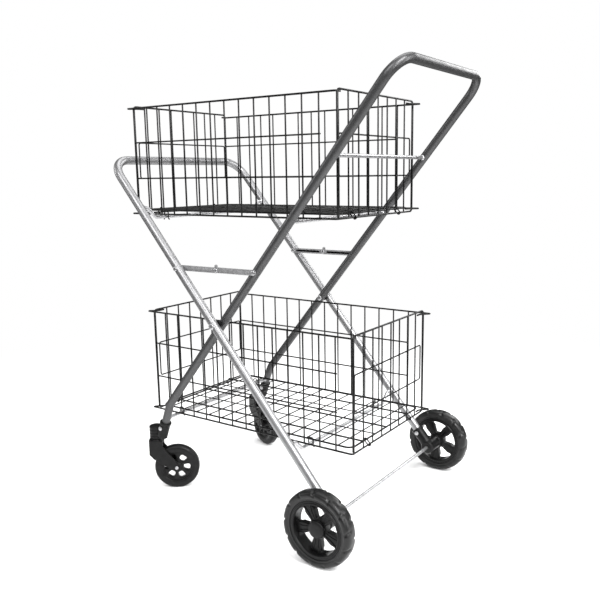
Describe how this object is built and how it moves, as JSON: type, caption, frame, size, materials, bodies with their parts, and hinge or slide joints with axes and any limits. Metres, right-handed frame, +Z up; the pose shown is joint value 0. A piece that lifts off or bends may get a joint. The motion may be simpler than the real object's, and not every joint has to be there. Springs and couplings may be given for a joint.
{
  "type": "folding shopping trolley",
  "caption": "Folding two-tier shopping trolley: crossed tube frames hinged at the middle, two wire baskets, spoked rear wheels and swivel front casters.",
  "frame": {"origin": "on the ground, midway between the two sides and below the middle of the trolley's whole length", "axes": "+X to the rear, where the handle is; +Y to the right-hand side of someone who stands behind it and faces the front (-X); +Z up"},
  "size_m": [0.738, 0.578, 0.9532],
  "materials": {
    "dark_frame_paint": "satin textured grey",
    "light_frame_paint": "satin silver grey",
    "zinc": "bright zinc plate",
    "stay_steel": "dull dark plated steel",
    "black_wire": "semi-gloss black coating",
    "black_plastic": "moulded satin black",
    "tyre_rubber": "matte black",
    "caster_rubber": "matte black"
  },
  "bodies": {
    "wheel_frame": {"wheel_frame_tube": "light_frame_paint", "upper_front_rod": "zinc", "lower_rear_rod": "zinc", "rear_axle": "zinc", "axle_bracket_left": "black_plastic", "bracket_rivet_left": "zinc", "frame_pivot_pin_left": "zinc", "pivot_spacer_left": "black_plastic", "stay_pivot_rivet_left": "zinc", "axle_bracket_right": "black_plastic", "bracket_rivet_right": "zinc", "frame_pivot_pin_right": "zinc", "pivot_spacer_right": "black_plastic", "stay_pivot_rivet_right": "zinc"},
    "handle_frame": {"handle_frame_tube": "dark_frame_paint", "back_rest_rod": "zinc", "upper_rear_rod": "zinc", "lower_front_rod": "zinc", "caster_socket_left": "black_plastic", "socket_rivet_left": "zinc", "caster_socket_right": "black_plastic", "socket_rivet_right": "zinc"},
    "front_stay_left": {"front_stay_left": "stay_steel", "stay_knee_rivet_left": "zinc"},
    "rear_stay_left": {"rear_stay_left": "stay_steel", "stay_end_rivet_left": "zinc"},
    "front_stay_right": {"front_stay_right": "stay_steel", "stay_knee_rivet_right": "zinc"},
    "rear_stay_right": {"rear_stay_right": "stay_steel", "stay_end_rivet_right": "zinc"},
    "rear_wheel_left": {"rear_wheel_left": "black_plastic", "rear_tyre_left": "tyre_rubber", "hub_cap_left": "black_plastic"},
    "caster_fork_left": {"caster_fork_left": "black_plastic", "caster_stem_left": "zinc", "caster_bolt_left": "zinc"},
    "caster_wheel_left": {"caster_wheel_left": "caster_rubber"},
    "rear_wheel_right": {"rear_wheel_right": "black_plastic", "rear_tyre_right": "tyre_rubber", "hub_cap_right": "black_plastic"},
    "caster_fork_right": {"caster_fork_right": "black_plastic", "caster_stem_right": "zinc", "caster_bolt_right": "zinc"},
    "caster_wheel_right": {"caster_wheel_right": "caster_rubber"},
    "upper_basket": {"upper_basket_left_wall": "black_wire", "upper_basket_right_wall": "black_wire", "upper_basket_front_wall": "black_wire", "upper_basket_rear_wall": "black_wire", "upper_basket_floor": "black_wire"},
    "lower_basket": {"lower_basket_left_wall": "black_wire", "lower_basket_right_wall": "black_wire", "lower_basket_front_wall": "black_wire", "lower_basket_rear_wall": "black_wire", "lower_basket_floor": "black_wire"}
  },
  "joints": [
    {"name": "frame_fold", "type": "hinge", "parent": "wheel_frame", "child": "handle_frame", "pos_m": [-0.06244, 0, 0.43], "axis": [0, -1, 0], "range_deg": [0, 52], "deforming": ["upper_basket_left_wall", "upper_basket_right_wall", "upper_basket_front_wall", "upper_basket_rear_wall", "upper_basket_floor", "lower_basket_left_wall", "lower_basket_right_wall", "lower_basket_front_wall", "lower_basket_rear_wall", "lower_basket_floor"]},
    {"name": "front_stay_fold_left", "type": "hinge", "parent": "wheel_frame", "child": "front_stay_left", "pos_m": [-0.1612, -0.2043, 0.54686], "axis": [0, -1, 0], "range_deg": [0, 95.12]},
    {"name": "rear_stay_fold_left", "type": "hinge", "parent": "front_stay_left", "child": "rear_stay_left", "pos_m": [-0.06326, -0.2043, 0.54754], "axis": [0, -1, 0], "range_deg": [-137.24, 0]},
    {"name": "front_stay_fold_right", "type": "hinge", "parent": "wheel_frame", "child": "front_stay_right", "pos_m": [-0.1612, 0.2043, 0.54686], "axis": [0, -1, 0], "range_deg": [0, 95.12]},
    {"name": "rear_stay_fold_right", "type": "hinge", "parent": "front_stay_right", "child": "rear_stay_right", "pos_m": [-0.06326, 0.2043, 0.54754], "axis": [0, -1, 0], "range_deg": [-137.24, 0]},
    {"name": "rear_wheel_spin_left", "type": "hinge", "parent": "wheel_frame", "child": "rear_wheel_left", "pos_m": [0.23587, -0.273, 0.077], "axis": [0, 1, 0], "continuous": true},
    {"name": "rear_wheel_spin_right", "type": "hinge", "parent": "wheel_frame", "child": "rear_wheel_right", "pos_m": [0.23587, 0.273, 0.077], "axis": [0, 1, 0], "continuous": true},
    {"name": "caster_swivel_left", "type": "hinge", "parent": "handle_frame", "child": "caster_fork_left", "pos_m": [-0.28844, -0.1915, 0.127], "axis": [0, 0, 1], "continuous": true},
    {"name": "caster_wheel_spin_left", "type": "hinge", "parent": "caster_fork_left", "child": "caster_wheel_left", "pos_m": [-0.25141, -0.16256, 0.053], "axis": [-0.6157, 0.788, 0], "continuous": true},
    {"name": "caster_swivel_right", "type": "hinge", "parent": "handle_frame", "child": "caster_fork_right", "pos_m": [-0.28844, 0.1915, 0.127], "axis": [0, 0, 1], "continuous": true},
    {"name": "caster_wheel_spin_right", "type": "hinge", "parent": "caster_fork_right", "child": "caster_wheel_right", "pos_m": [-0.24428, 0.17542, 0.053], "axis": [0.342, 0.9397, 0], "continuous": true},
    {"name": "upper_basket_lift", "type": "slide", "parent": "wheel_frame", "child": "upper_basket", "axis": [0, 0, 1], "range_m": [0, 0.32]},
    {"name": "lower_basket_slide", "type": "slide", "parent": "wheel_frame", "child": "lower_basket", "axis": [0.98, 0, 0.199], "range_m": [0, 0.62]}
  ],
  "couplings": [
    {"joint": "front_stay_fold_left", "follows": "frame_fold", "ratio": 1.81},
    {"joint": "rear_stay_fold_left", "follows": "frame_fold", "ratio": -2.62},
    {"joint": "front_stay_fold_right", "follows": "frame_fold", "ratio": 1.81},
    {"joint": "rear_stay_fold_right", "follows": "frame_fold", "ratio": -2.62}
  ]
}
